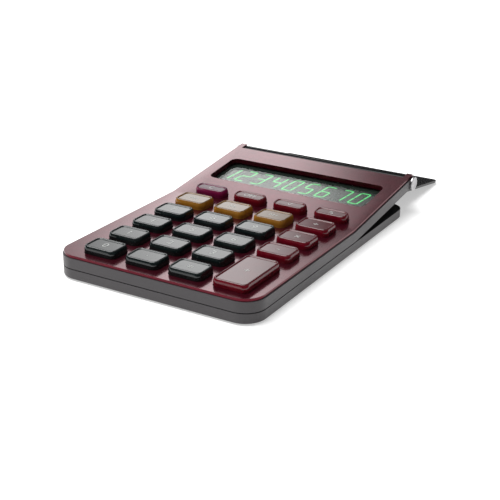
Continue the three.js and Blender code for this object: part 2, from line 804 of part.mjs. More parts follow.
add(calculator, 'key_mat', keyMat(), finishes.rubber);
add(panel, 'panel_key_mat', panelKeyMat(), finishes.rubber);
add(calculator, 'main_board', mainBoard(), finishes.board);
add(panel, 'panel_board', panelBoard(), finishes.board);
add(panel, 'display_glass', displayGlass(), finishes.glass);
add(panel, 'display_lens', lens(), finishes.clear);
add(calculator, 'board_ribbon', boardRibbon(), finishes.ribbon);
add(panel, 'display_ribbon', displayRibbon(), finishes.ribbon);
add(calculator, 'controller_chip', controllerChip(), finishes.epoxy);

add(calculator, 'battery_cell', batteryCell(), finishes.steel);
add(calculator, 'negative_contact', negativeContact(), finishes.steel);
add(calculator, 'positive_contact', positiveContact(), finishes.steel);
add(calculator, 'battery_cover', batteryCover(), finishes.case);
const doorScrew = screw(cellRoof - doorTop - bond, doorScrewHead);
const doorScrewZ = doorTop - doorThickness - bond / 2;
add(calculator, 'battery_cover_screw', doorScrew, finishes.steel).position.set(0, doorScrewY, doorScrewZ);

crossings.forEach(({ x, y }, i) => {
  const caseScrew = screw(webUnderside - 3 * fit - caseScrewZ, screwHeadHeight);
  add(calculator, `case_screw_${i + 1}`, caseScrew, finishes.steel).position.set(x, y, caseScrewZ);
});

feet.forEach(({ x, y }, i) => {
  const foot = post(footRadius, 0, 0, 0, footHeight);
  add(calculator, `foot_${i + 1}`, foot, finishes.rubber).position.set(x, y, 0);
});

add(coverGroup, 'display_cover', displayCover(), finishes.cover);
const hingeGroup = new THREE.Group();
hingeGroup.position.set(0, hinge.y, hinge.z);
calculator.add(hingeGroup);
add(hingeGroup, 'hinge_pin', hingePin(), finishes.steel);
add(hingeGroup, 'hinge_cap_right', hingeCap(), finishes.steel);
add(hingeGroup, 'hinge_cap_left', hingeCap(), finishes.steel).rotation.z = Math.PI;

export default calculator;
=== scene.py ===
# %% [markdown]
# # A pocket calculator, finished piece by piece
# The measured model gives every place and size: cases, keys, hinge and cover. This lesson gives
# each piece its final surface. Flat sheets and shells get softened edges, the keys get their
# dished tops, the display gets lit digits, and every piece gets a material made of nodes.

import json
import math

import bmesh
import bpy
from mathutils import Matrix, Vector

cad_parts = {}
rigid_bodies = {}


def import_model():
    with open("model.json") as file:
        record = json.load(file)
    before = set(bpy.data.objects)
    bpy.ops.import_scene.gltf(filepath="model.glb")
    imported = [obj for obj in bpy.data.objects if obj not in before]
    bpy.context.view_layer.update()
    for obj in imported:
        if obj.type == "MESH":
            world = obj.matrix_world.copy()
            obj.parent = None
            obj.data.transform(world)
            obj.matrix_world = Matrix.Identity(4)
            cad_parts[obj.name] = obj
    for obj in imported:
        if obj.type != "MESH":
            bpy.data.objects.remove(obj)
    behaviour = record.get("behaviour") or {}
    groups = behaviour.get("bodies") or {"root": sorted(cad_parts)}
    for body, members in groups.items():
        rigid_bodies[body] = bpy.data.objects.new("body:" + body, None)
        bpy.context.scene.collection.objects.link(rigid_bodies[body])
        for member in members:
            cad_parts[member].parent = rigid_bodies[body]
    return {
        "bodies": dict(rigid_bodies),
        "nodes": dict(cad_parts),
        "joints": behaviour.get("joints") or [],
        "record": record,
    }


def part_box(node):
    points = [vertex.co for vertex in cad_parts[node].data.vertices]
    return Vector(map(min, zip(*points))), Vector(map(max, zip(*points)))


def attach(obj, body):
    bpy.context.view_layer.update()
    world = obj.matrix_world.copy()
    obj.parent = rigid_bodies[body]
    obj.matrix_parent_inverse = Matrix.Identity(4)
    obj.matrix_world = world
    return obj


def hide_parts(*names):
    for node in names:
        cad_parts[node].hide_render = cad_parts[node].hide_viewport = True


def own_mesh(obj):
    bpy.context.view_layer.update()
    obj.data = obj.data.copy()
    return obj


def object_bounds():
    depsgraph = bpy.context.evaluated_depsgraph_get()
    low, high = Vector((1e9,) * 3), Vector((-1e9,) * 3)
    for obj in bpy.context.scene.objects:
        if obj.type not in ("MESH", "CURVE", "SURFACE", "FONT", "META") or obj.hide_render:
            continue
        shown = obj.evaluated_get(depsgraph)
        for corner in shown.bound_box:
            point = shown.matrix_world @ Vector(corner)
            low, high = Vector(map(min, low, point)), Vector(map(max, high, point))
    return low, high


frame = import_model()
cad_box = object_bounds()
MM = 0.001
joints = {joint["name"]: joint for joint in frame["joints"]}
print("nodes:", len(frame["nodes"]), "joints:", len(joints))

# %% [markdown]
# ## The camera
# The view is from the front right, a little above the desk, through a long lens. A camera is
# easiest to place by what it looks at, then the direction and the distance. A whisker of roll is
# left in, because a camera held in the hand is never quite level.

# %% Camera
CAMERA_TARGET = Vector((0.0002, -0.0143, -0.0041))
CAMERA_AZIMUTH = math.radians(30.53)
CAMERA_ELEVATION = math.radians(22.71)
CAMERA_ROLL = math.radians(0.36)
CAMERA_DISTANCE = 0.377
CAMERA_LENS = 79.9
CAMERA_SENSOR = 36
CAMERA_NEAREST = 0.01


def make_camera():
    data = bpy.data.cameras.new("camera")
    data.lens = CAMERA_LENS
    data.sensor_width = CAMERA_SENSOR
    data.clip_start = CAMERA_NEAREST
    camera = bpy.data.objects.new("camera", data)
    bpy.context.collection.objects.link(camera)
    back = Vector((
        math.sin(CAMERA_AZIMUTH) * math.cos(CAMERA_ELEVATION),
        -math.cos(CAMERA_AZIMUTH) * math.cos(CAMERA_ELEVATION),
        math.sin(CAMERA_ELEVATION),
    ))
    turn = (-back).to_track_quat("-Z", "Y").to_matrix().to_4x4()
    spot = Matrix.Translation(CAMERA_TARGET + back * CAMERA_DISTANCE)
    camera.matrix_world = spot @ turn @ Matrix.Rotation(CAMERA_ROLL, 4, "Z")
    bpy.context.scene.camera = camera
    print("camera at:", [round(value, 3) for value in camera.matrix_world.translation])


make_camera()

# %% [markdown]
# ## The panel's own frame
# The display panel is tilted, so its keys, window and digits are easiest to make lying flat and
# then tip up together. A key on the panel slides square to it, so that key's joint axis says how
# far the panel is tipped. Turning by the same angle brings any panel piece level.

# %% Panel frame
slide_axis = joints["press_key_clear"]["axis"]
PANEL_TILT = math.atan2(slide_axis[1], -slide_axis[2])
PANEL = Matrix.Rotation(PANEL_TILT, 4, "X")
LEVEL = Matrix.Identity(4)
print("panel tilt:", round(math.degrees(PANEL_TILT), 2))


def box_in(node_name, placing):
    """The lowest and highest corner of a node, measured along a placing's own axes."""
    level = placing.inverted()
    corners = [level @ vertex.co for vertex in frame["nodes"][node_name].data.vertices]
    low = Vector(min(corner[i] for corner in corners) for i in range(3))
    high = Vector(max(corner[i] for corner in corners) for i in range(3))
    return low, high


# %% [markdown]
# ## Shader helpers
# A material is a small machine of nodes, and most of them do one of a few jobs: a sum, a change
# of range, a noise, a bump. Each job gets a short helper that adds its node, feeds it and hands
# back the result, so a material below reads like a recipe.

# %% Groups and nodes
def new_group(name, inputs, outputs):
    group = bpy.data.node_groups.new(name, "ShaderNodeTree")
    for title, kind, value in inputs:
        socket = group.interface.new_socket(title, in_out="INPUT", socket_type=kind)
        socket.default_value = value
    for title, kind in outputs:
        group.interface.new_socket(title, in_out="OUTPUT", socket_type=kind)
    return group, group.nodes.new("NodeGroupInput").outputs, group.nodes.new("NodeGroupOutput").inputs


def node(tree, kind, **values):
    """Adds a node. A value names an attribute, or an input with spaces as underscores."""
    made = tree.nodes.new(kind)
    for key, value in values.items():
        if hasattr(made, key):
            setattr(made, key, value)
        else:
            made.inputs[key.replace("_", " ")].default_value = value
    return made


def feed(tree, source, socket):
    """Links an output to a socket, or sets the socket to a plain value."""
    if hasattr(source, "is_output"):
        tree.links.new(source, socket)
    else:
        socket.default_value = source


# %% Sums, ranges and noises
def calculate(tree, operation, *terms):
    made = node(tree, "ShaderNodeMath", operation=operation)
    for term, socket in zip(terms, made.inputs):
        feed(tree, term, socket)
    return made.outputs[0]


def map_range(tree, source, low, high, to_low, to_high, curve="LINEAR"):
    made = node(tree, "ShaderNodeMapRange", interpolation_type=curve)
    terms = {"Value": source, "From Min": low, "From Max": high, "To Min": to_low, "To Max": to_high}
    for title, term in terms.items():
        feed(tree, term, made.inputs[title])
    return made.outputs["Result"]


def object_point(tree):
    return node(tree, "ShaderNodeTexCoord").outputs["Object"]


def noise(tree, point, scale, **values):
    made = node(tree, "ShaderNodeTexNoise", **values)
    feed(tree, point, made.inputs["Vector"])
    feed(tree, scale, made.inputs["Scale"])
    return made.outputs["Fac"]


def bump(tree, height, depth):
    """Turns a height from 0 to 1, times a depth in metres, into a bent normal."""
    made = node(tree, "ShaderNodeBump", Strength=1.0)
    feed(tree, height, made.inputs["Height"])
    feed(tree, depth, made.inputs["Distance"])
    return made.outputs["Normal"]


# %% Colour helpers
MIX_FIRST, MIX_SECOND, MIX_RESULT = 6, 7, 2  # the mix node's sockets for colours


def mix_colors(tree, share, first, second):
    made = node(tree, "ShaderNodeMix", data_type="RGBA")
    feed(tree, share, made.inputs["Factor"])
    feed(tree, first, made.inputs[MIX_FIRST])
    feed(tree, second, made.inputs[MIX_SECOND])
    return made.outputs[MIX_RESULT]


def shade_color(tree, color, amount):
    made = node(tree, "ShaderNodeVectorMath", operation="SCALE")
    feed(tree, color, made.inputs[0])
    feed(tree, amount, made.inputs["Scale"])
    return made.outputs["Vector"]


# %% [markdown]
# ## Effects that materials share
# Moulded plastic has a fine even grain, and slow clouds where it came out a little rougher or
# paler. Gloss shows faint smears and rubbed patches where hands have been. Each effect is a node
# group, built once, with its amounts as inputs, so every material sets its own amounts.

# %% Moulded grain
CLOUD_LOW, CLOUD_HIGH = 0.3, 0.7  # most of a noise lies between these
CLOUD_SCALE = 60.0
CLOUD_SHINIER, CLOUD_DULLER = 0.05, 0.07
SURFACE_OUTPUTS = [
    ("Color", "NodeSocketColor"), ("Roughness", "NodeSocketFloat"), ("Normal", "NodeSocketVector")
]


def make_grain_group():
    group, given, made = new_group(
        "moulded grain",
        [
            ("Color", "NodeSocketColor", (0.5, 0.5, 0.5, 1)),
            ("Scale", "NodeSocketFloat", 2500.0),
            ("Depth", "NodeSocketFloat", 0.01 * MM),
            ("Roughness", "NodeSocketFloat", 0.4),
            ("Tint", "NodeSocketFloat", 0.06),
        ],
        SURFACE_OUTPUTS,
    )
    point = object_point(group)
    grain = noise(group, point, given["Scale"], Detail=2.0, Roughness=0.6)
    cloud = noise(group, point, CLOUD_SCALE, Detail=3.0)
    shiniest = calculate(group, "SUBTRACT", given["Roughness"], CLOUD_SHINIER)
    dullest = calculate(group, "ADD", given["Roughness"], CLOUD_DULLER)
    rough = map_range(group, cloud, CLOUD_LOW, CLOUD_HIGH, shiniest, dullest)
    paler = calculate(group, "SUBTRACT", cloud, 0.5)
    shade = calculate(group, "MULTIPLY_ADD", paler, given["Tint"], 1.0)
    feed(group, shade_color(group, given["Color"], shade), made["Color"])
    feed(group, rough, made["Roughness"])
    feed(group, bump(group, grain, given["Depth"]), made["Normal"])
    return group


GRAIN = make_grain_group()
print("effect:", GRAIN.name)

# %% Handling marks
SMEAR_STARTS, SMEAR_FULL = 0.42, 0.75
SMEAR_SCALE = 90.0
SMEAR_STRETCH = (1.0, 0.45, 1.0)
SMEAR_TURN = 0.6
WAVE_SCALE = 45.0


def make_marks_group():
    """Soft smears on gloss: a little rougher and a little duller where fingers have been."""
    group, given, made = new_group(
        "handling marks",
        [
            ("Color", "NodeSocketColor", (0.5, 0.5, 0.5, 1)),
            ("Film Color", "NodeSocketColor", (0.5, 0.45, 0.45, 1)),
            ("Film", "NodeSocketFloat", 0.04),
            ("Roughness", "NodeSocketFloat", 0.08),
            ("Smear", "NodeSocketFloat", 0.06),
            ("Wave", "NodeSocketFloat", 0.004 * MM),
        ],
        SURFACE_OUTPUTS,
    )
    point = object_point(group)
    stretch = node(group, "ShaderNodeMapping", Scale=SMEAR_STRETCH, Rotation=(0, 0, SMEAR_TURN))
    feed(group, point, stretch.inputs["Vector"])
    smear = noise(
        group, stretch.outputs["Vector"], SMEAR_SCALE, Detail=5.0, Roughness=0.65, Distortion=0.8
    )
    mask = map_range(group, smear, SMEAR_STARTS, SMEAR_FULL, 0.0, 1.0)
    film = calculate(group, "MULTIPLY", mask, given["Film"])
    wave = noise(group, point, WAVE_SCALE, Detail=1.0)
    feed(group, mix_colors(group, film, given["Color"], given["Film Color"]), made["Color"])
    feed(group, calculate(group, "MULTIPLY_ADD", mask, given["Smear"], given["Roughness"]), made["Roughness"])
    feed(group, bump(group, wave, given["Wave"]), made["Normal"])
    return group


MARKS = make_marks_group()
print("effect:", MARKS.name)

# %% [markdown]
# Tinted plastic is brightest where light leaves it. A clear-bodied key looks dark from above,
# and its sides glow, because light that enters the top comes out there. Tracing that through
# solid plastic is slow and noisy, so that light is painted: a mask from the surface's own direction
# gives one colour for faces that look up, and a painted colour for the sides that holds their light and
# shade.

# %% Tinted body and painted side light
SIDE_BELOW, FACE_ABOVE = 0.35, 0.9  # the upward share of a surface's direction
BODY_CLOUD_SCALE = 350.0


def make_tint_and_side_light_group():
    group, given, made = new_group(
        "tint and painted side light",
        [
            ("Face Color", "NodeSocketColor", (0.05, 0.05, 0.05, 1)),
            ("Side Color", "NodeSocketColor", (0.2, 0.2, 0.2, 1)),
            ("Cloudiness", "NodeSocketFloat", 0.15),
        ],
        [("Color", "NodeSocketColor"), ("Face Mask", "NodeSocketFloat")],
    )
    split = node(group, "ShaderNodeSeparateXYZ")
    feed(group, node(group, "ShaderNodeNewGeometry").outputs["Normal"], split.inputs["Vector"])
    # Painted light and shade: the sides get their own colour in place of light traced through the body.
    mask = map_range(group, split.outputs["Z"], SIDE_BELOW, FACE_ABOVE, 0.0, 1.0)
    color = mix_colors(group, mask, given["Side Color"], given["Face Color"])
    cloud = noise(group, object_point(group), BODY_CLOUD_SCALE, Detail=3.0)
    darkest = calculate(group, "SUBTRACT", 1.0, given["Cloudiness"])
    palest = calculate(group, "ADD", 1.0, given["Cloudiness"])
    shade = map_range(group, cloud, CLOUD_LOW, CLOUD_HIGH, darkest, palest)
    feed(group, shade_color(group, color, shade), made["Color"])
    feed(group, mask, made["Face Mask"])
    return group


TINT_AND_SIDE_LIGHT = make_tint_and_side_light_group()
print("effect:", TINT_AND_SIDE_LIGHT.name)

# %% [markdown]
# ## Three families of finish
# Paint, rubber and metal are moulded or rolled, so they take the grain. Acrylic, ink and resin
# are glossy, so they take the handling marks. Keys and faceplate are glossy and tinted as well.
# The Principled shader stays in each material, and a number that is the same all over the piece
# goes straight to its socket.

# %% Families of finish
def new_material(name):
    material = bpy.data.materials.new(name)
    material.use_nodes = True
    tree = material.node_tree
    return material, tree, tree.nodes["Principled BSDF"]


def finished(name, group, color, values):
    """A value goes to the effect's input of that name, or else to the shader's own."""
    material, tree, shader = new_material(name)
    effect = node(tree, "ShaderNodeGroup", node_tree=group, name="effect")
    feed(tree, (*color, 1), effect.inputs["Color"])
    for key, value in values.items():
        title = key.replace("_", " ")
        owner = effect if title in effect.inputs else shader
        feed(tree, value, owner.inputs[title])
    feed(tree, effect.outputs["Color"], shader.inputs["Base Color"])
    feed(tree, effect.outputs["Roughness"], shader.inputs["Roughness"])
    feed(tree, effect.outputs["Normal"], shader.inputs["Normal"])
    return material


def moulded(name, color, **values):
    return finished(name, GRAIN, color, values)


def glossy(name, color, **values):
    return finished(name, MARKS, color, values)


def tinted(name, face_color, side_color, coat=0.0, **values):
    """Gloss over tinted plastic: handling marks, painted light and shade on the body's sides, a coat on top.
    """
    material = glossy(name, face_color, **values)
    tree = material.node_tree
    tint = node(tree, "ShaderNodeGroup", node_tree=TINT_AND_SIDE_LIGHT)
    feed(tree, (*face_color, 1), tint.inputs["Face Color"])
    feed(tree, (*side_color, 1), tint.inputs["Side Color"])
    feed(tree, tint.outputs["Color"], tree.nodes["effect"].inputs["Color"])
    if coat:
        weight = calculate(tree, "MULTIPLY", tint.outputs["Face Mask"], coat)
        feed(tree, weight, tree.nodes["Principled BSDF"].inputs["Coat Weight"])
    return material


# %% Case, faceplate and cover
CASE = moulded(
    "case paint", (0.054, 0.049, 0.052), Roughness=0.36, Depth=0.006 * MM, Specular_IOR_Level=0.35
)
# Painted shade: a near-black for the case faces that lie in shade between the tray and the panel.
CASE_PAINTED_SHADE = moulded("case painted shade", (0.006, 0.006, 0.006), Roughness=0.5, Depth=0.006 * MM)
# The faceplate's side colour is painted light, kept red so that the window collar in shade still shows.
PLATE = tinted(
    "burgundy acrylic", (0.085, 0.005, 0.015), (0.09, 0.002, 0.01), coat=0.5,
    Roughness=0.2, Film=0.01, Smear=0.04, Metallic=0.75, Coat_Roughness=0.07,
)
COVER = glossy(
    "cover black", (0.003, 0.003, 0.0035),
    Roughness=0.04, Film=0.002, Smear=0.02, Specular_IOR_Level=0.12,
)
print("outer finishes:", [material.name for material in (CASE, CASE_PAINTED_SHADE, PLATE, COVER)])

# %% Metals
CAP = moulded(
    "cap aluminium", (0.36, 0.35, 0.36), Roughness=0.32, Scale=3000.0, Depth=0.004 * MM, Metallic=1.0
)
STEEL = moulded("plated steel", (0.5, 0.5, 0.5), Roughness=0.25, Scale=3000.0, Metallic=1.0)
CELL = moulded("cell steel", (0.62, 0.62, 0.62), Roughness=0.3, Scale=3000.0, Metallic=1.0)
SPRING = moulded("spring steel", (0.6, 0.58, 0.53), Roughness=0.22, Scale=3000.0, Metallic=1.0)
print("metals:", [material.name for material in (CAP, STEEL, CELL, SPRING)])

# %% Rubber and electronics
FOOT = moulded("foot rubber", (0.02, 0.02, 0.021), Roughness=0.75, Depth=0.02 * MM)
MAT = moulded("dome rubber", (0.32, 0.32, 0.33), Roughness=0.6)
BOARD = moulded("board laminate", (0.018, 0.12, 0.045), Roughness=0.4, Tint=0.2)
RIBBON = moulded("ribbon film", (0.42, 0.2, 0.03), Roughness=0.3, Tint=0.2)
EPOXY = glossy("potting resin", (0.008, 0.008, 0.008), Roughness=0.2)
print("inner finishes:", [material.name for material in (FOOT, MAT, BOARD, RIBBON, EPOXY)])

# %% Key plastics
# Painted light and shade: each key's side colour stands in for light coming out of its body, and for shade on
# the dark number keys.
KEY_COLORS = {  # the colour from above, and the colour of the sides
    "number_key": ((0.009, 0.012, 0.012), (0.004, 0.009, 0.009)),
    "memory_key": ((0.065, 0.03, 0.006), (0.28, 0.12, 0.012)),
    "operator_key": ((0.045, 0.002, 0.005), (0.13, 0.002, 0.009)),
    "clear_key": ((0.035, 0.002, 0.014), (0.17, 0.002, 0.05)),
}
KEYS = {
    slot: tinted(slot.replace("_", " "), face, side, Roughness=0.09, Film=0.02)
    for slot, (face, side) in KEY_COLORS.items()
}
print("key plastics:", list(KEYS))

# %% [markdown]
# ## Pieces that keep their measured shape
# Some nodes are hidden inside or are already right, so they only get a material. A node's own
# list of materials is emptied and refilled, and its mesh is left alone.

# %% Finish the inner nodes
INNER = {
    BOARD: ["main_board", "panel_board"],
    RIBBON: ["board_ribbon", "display_ribbon"],
    EPOXY: ["controller_chip"],
    CELL: ["battery_cell"],
    SPRING: ["negative_contact", "positive_contact"],
    STEEL: ["battery_cover_screw", "hinge_pin"] + [f"case_screw_{i}" for i in range(1, 5)],
    FOOT: [f"foot_{i}" for i in range(1, 5)],
    CASE: ["battery_cover"],
}


def refinish(node_name, material):
    slots = frame["nodes"][node_name].data.materials
    slots.clear()
    slots.append(material)


for material, names in INNER.items():
    for name in names:
        refinish(name, material)
print("finished in place:", sum(len(names) for names in INNER.values()))

# %% [markdown]
# ## Finishing a new piece
# Every new piece ends the same way: its faces are turned outwards, it is shaded smooth except
# where it really has a corner, it gets its material, and it is fixed to the body it moves with.
# Large faces keep their own direction, so a thin rounded edge doesn't shade the flat beside it.

# %% Place a piece
SMOOTH_UNDER = math.radians(35)
LARGE_FACES_ONLY = 100


def place(name, bm, body, material, stands_for=(), inside=None):
    """`inside` is a second material, with the test that picks its faces; the cases use it for painted shade
    on their faces in shade.
    """
    bmesh.ops.recalc_face_normals(bm, faces=bm.faces)
    if inside:
        shade_material, is_in_shade = inside
        for face in bm.faces:
            face.material_index = int(is_in_shade(face))
    mesh = bpy.data.meshes.new(name)
    bm.to_mesh(mesh)
    bm.free()
    mesh.shade_smooth()
    mesh.set_sharp_from_angle(angle=SMOOTH_UNDER)
    mesh.materials.append(material)
    if inside:
        mesh.materials.append(shade_material)
    piece = bpy.data.objects.new(name, mesh)
    bpy.context.collection.objects.link(piece)
    even = piece.modifiers.new("even shading", "WEIGHTED_NORMAL")
    even.weight = LARGE_FACES_ONLY
    even.keep_sharp = True
    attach(piece, body)
    if stands_for:
        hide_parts(*stands_for)
    return piece


# %% [markdown]
# ## Cases and faceplate
# A moulded edge is never sharp: it catches a thin line of light. The measured solids are right but
# have knife edges, so a copy of each is merged, its flat faces are joined up, and its corners are
# bevelled. Bevelling only real corners leaves the facets of the round walls alone.

# %% Copy, merge and bevel
MERGE_UNDER = 0.002 * MM
FLAT_UNDER = math.radians(0.5)
CORNER_OVER = math.radians(40)


def merged_copy(node_name):
    bm = bmesh.new()
    bm.from_mesh(frame["nodes"][node_name].data)
    bmesh.ops.remove_doubles(bm, verts=bm.verts, dist=MERGE_UNDER)
    return bm


def join_flats(bm):
    bmesh.ops.dissolve_limit(bm, angle_limit=FLAT_UNDER, verts=bm.verts, edges=bm.edges)
    return bm


def bevel(bm, edges, offset, segments, clamp=False):
    bmesh.ops.bevel(
        bm, geom=edges, offset=offset, offset_type="OFFSET", segments=segments, profile=0.5,
        affect="EDGES", clamp_overlap=clamp, material=-1,
    )


def soften(bm, width, segments=2, chosen=lambda edge: True):
    """Bevels the real corners, or those of them that are chosen."""
    bm.normal_update()
    corners = [
        edge
        for edge in bm.edges
        if len(edge.link_faces) == 2 and edge.calc_face_angle() > CORNER_OVER and chosen(edge)
    ]
    bevel(bm, corners, width, segments, clamp=True)
    print("softened corners:", len(corners), "faces:", len(bm.faces))


# %% Lower case
TRAY_LOW, TRAY_HIGH = (corner.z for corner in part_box("lower_case"))
TRAY_FOOT_ROUNDING = 0.45 * MM
TRAY_FOOT_STEPS = 4
TRAY_FOOT_REACH = 0.01 * MM
TRAY_RIM_REACH = 0.1 * MM
OUTER_WALL_OVER = 3 * MM
EDGE_ROUNDING = 0.1 * MM
FACES_SQUARELY = 0.9


def height_of(face):
    levels = [vertex.co.z for vertex in face.verts]
    return max(levels) - min(levels)


def on_outer_foot(edge):
    """True on the bottom edge of a tall outer wall."""
    is_low = all(abs(vertex.co.z - TRAY_LOW) < TRAY_FOOT_REACH for vertex in edge.verts)
    return is_low and any(height_of(face) > OUTER_WALL_OVER for face in edge.link_faces)


def on_tray_rim(edge):
    return max(vertex.co.z for vertex in edge.verts) > TRAY_HIGH - TRAY_RIM_REACH


def looks_up(face):
    return face.normal.z > FACES_SQUARELY


tray = join_flats(merged_copy("lower_case"))
soften(tray, TRAY_FOOT_ROUNDING, segments=TRAY_FOOT_STEPS, chosen=on_outer_foot)
soften(tray, EDGE_ROUNDING, chosen=on_tray_rim)
# Painted shade: the tray's upward faces, in shade under the panel, take the near-black.
place("lower_case_shell", tray, "root", CASE, ["lower_case"], inside=(CASE_PAINTED_SHADE, looks_up))

# %% Upper case and faceplate
SHEET_ROUNDING = 0.06 * MM


def looks_down(face):
    return face.normal.z < -FACES_SQUARELY


shell = join_flats(merged_copy("upper_case"))
soften(shell, EDGE_ROUNDING)
# Painted shade: the shell's downward faces, in shade above the tray, take the near-black.
place("upper_case_shell", shell, "root", CASE, ["upper_case"], inside=(CASE_PAINTED_SHADE, looks_down))

sheet = join_flats(merged_copy("faceplate"))
soften(sheet, SHEET_ROUNDING)
place("faceplate_sheet", sheet, "root", PLATE, ["faceplate"])

# %% [markdown]
# ## Keys
# Each key is one moulding: a thin flange that the case holds down, and a cap with a slight swell
# in its sides and a dished top inside a raised rim. One blank serves all of them. It starts as a
# cube, and every later shape comes from insets, extrusions and bevels, so a taller key only
# stretches.

# %% A slab and its edges
TOUCHING = 0.001 * MM  # closer than this is the same place


def slab(width, depth, height):
    bm = bmesh.new()
    bmesh.ops.create_cube(bm, size=1)
    bmesh.ops.scale(bm, vec=(width, depth, height), verts=bm.verts)
    return bm


def upright_edges(bm):
    return [edge for edge in bm.edges if abs(edge.verts[0].co.z - edge.verts[1].co.z) > TOUCHING]


def ring_at(bm, level):
    return [vertex for vertex in bm.verts if abs(vertex.co.z - level) < TOUCHING]


def edges_at(bm, level):
    ring = set(ring_at(bm, level))
    return [edge for edge in bm.edges if ring.issuperset(edge.verts)]


def top_face(bm):
    bm.normal_update()
    return max(bm.faces, key=lambda face: (round(face.calc_center_median().z, 7), face.normal.z))


def widen(bm, level, growth):
    """Moves the outline at one level outwards from the key's middle."""
    ring = ring_at(bm, level)
    span_x = max(vertex.co.x for vertex in ring)
    span_y = max(vertex.co.y for vertex in ring)
    bmesh.ops.scale(bm, vec=(1 + growth / span_x, 1 + growth / span_y, 1), verts=ring)


# %% Key blank
KEY_FLANGE = 0.45 * MM
KEY_FLANGE_THICKNESS = 0.5 * MM
KEY_CORNER = 2.0 * MM
KEY_CORNER_STEPS = 8
KEY_SWELL = 0.15 * MM
KEY_SWELL_BELOW_TOP = 1.25 * MM
KEY_SWELL_ROUNDING = 0.4 * MM
KEY_SWELL_STEPS = 3
KEY_TOP_DRAFT = 0.32 * MM
KEY_RIM = 0.5 * MM
KEY_ROUNDING = 0.34 * MM
KEY_ROUNDED_OVER = math.radians(60)
KEY_RIM_ROUNDING = 0.1 * MM
KEY_RIM_ROUNDED_OVER = math.radians(30)
KEY_ROUNDING_STEPS = 4
KEY_DISH_SLOPE = 0.28 * MM
KEY_DISH = 0.3 * MM


def key_blank(width, depth, height):
    bm = slab(width, depth, KEY_FLANGE_THICKNESS)
    bmesh.ops.translate(bm, vec=(0, 0, KEY_FLANGE_THICKNESS / 2), verts=bm.verts)
    bevel(bm, upright_edges(bm), KEY_CORNER + KEY_FLANGE, KEY_CORNER_STEPS)
    top = top_face(bm)
    bmesh.ops.inset_region(bm, faces=[top], thickness=KEY_FLANGE + KEY_SWELL)
    swell_level = height - KEY_SWELL_BELOW_TOP
    for level, growth in ((swell_level, KEY_SWELL), (height, -KEY_TOP_DRAFT)):
        raised = bmesh.ops.extrude_face_region(bm, geom=[top])["geom"]
        bmesh.ops.delete(bm, geom=[top], context="FACES_ONLY")
        lifted = [item for item in raised if isinstance(item, bmesh.types.BMVert)]
        bmesh.ops.translate(bm, vec=(0, 0, level - lifted[0].co.z), verts=lifted)
        widen(bm, level, growth)
        top = top_face(bm)
    bmesh.ops.inset_region(bm, faces=[top], thickness=KEY_RIM)
    bmesh.ops.inset_region(bm, faces=[top], thickness=KEY_DISH_SLOPE, depth=-KEY_DISH)
    bevel(bm, edges_at(bm, swell_level), KEY_SWELL_ROUNDING, KEY_SWELL_STEPS)
    for over, rounding in ((KEY_ROUNDED_OVER, KEY_ROUNDING), (KEY_RIM_ROUNDED_OVER, KEY_RIM_ROUNDING)):
        bm.normal_update()
        corners = [edge for edge in edges_at(bm, height) if edge.calc_face_angle() > over]
        bevel(bm, corners, rounding, KEY_ROUNDING_STEPS)
    return bm


# %% Make the keys
TILTED_OVER = 1e-6  # how far a key's own direction leans when it sits on the panel

slot_of = {part["node"]: part["material_slot"] for part in frame["record"]["subparts"]}
key_names = [body for body in frame["bodies"] if body.startswith("key_")]
key_tops = {}
for name in key_names:
    placing = PANEL if abs(joints[f"press_{name}"]["axis"][1]) > TILTED_OVER else LEVEL
    low, high = box_in(name, placing)
    size = high - low
    bm = key_blank(size.x, size.y, size.z)
    middle = Vector(((low.x + high.x) / 2, (low.y + high.y) / 2, low.z))
    bmesh.ops.transform(bm, matrix=placing @ Matrix.Translation(middle), verts=bm.verts)
    place(f"{name}_cap", bm, name, KEYS[slot_of[name]], [name])
    key_tops[name] = (placing, Vector((middle.x, middle.y, high.z - KEY_DISH)))
print("keys:", len(key_tops))

# %% [markdown]
# ## Rubber domes
# A rubber dome under each key gives way when the key goes down. The measured mat is one solid, so
# here it becomes a flat sheet and one dome for each key. A dome is a turned shape, fixed to the case.

# %% Turned shapes
def turned(profile, steps):
    """Spins a line of (radius, height) points once round the Z axis."""
    bm = bmesh.new()
    points = [bm.verts.new((radius, 0, level)) for radius, level in profile]
    lines = [bm.edges.new(pair) for pair in zip(points, points[1:])]
    bmesh.ops.spin(
        bm, geom=points + lines, cent=(0, 0, 0), axis=(0, 0, 1), angle=2 * math.pi, steps=steps,
        use_merge=True,
    )
    bmesh.ops.remove_doubles(bm, verts=bm.verts, dist=TOUCHING)
    return bm


# %% Mats and domes
SHEET_THICKNESS = 0.3 * MM
DOME_NECK = 0.25 * MM
DOME_CURVE_STEPS = 8
DOME_TURN_STEPS = 32
DOME_RADII = {"key_mat": (3.0 * MM, 1.8 * MM), "panel_key_mat": (2.0 * MM, 1.2 * MM)}  # foot, top


def dome_profile(radius, top_radius, height):
    """A skirt that curves in to a flat top."""
    points = [(0, 0), (radius, 0)]
    for step in range(1, DOME_CURVE_STEPS):
        turn = math.pi / 2 * step / DOME_CURVE_STEPS
        out = top_radius + (radius - top_radius) * (1 - math.sin(turn))
        up = DOME_NECK + (height - 2 * DOME_NECK) * (1 - math.cos(turn))
        points.append((out, up))
    points += [(top_radius, height - DOME_NECK), (top_radius - DOME_NECK / 2, height), (0, height)]
    return points


def make_mat_sheet(mat_name, placing, sheet_top):
    """The measured mat, pressed flat to a sheet in its own level frame."""
    sheet = merged_copy(mat_name)
    bmesh.ops.transform(sheet, matrix=placing.inverted(), verts=sheet.verts)
    for vertex in sheet.verts:
        vertex.co.z = min(vertex.co.z, sheet_top)
    join_flats(sheet)
    bmesh.ops.transform(sheet, matrix=placing, verts=sheet.verts)
    place(f"{mat_name}_sheet", sheet, "root", MAT, [mat_name])


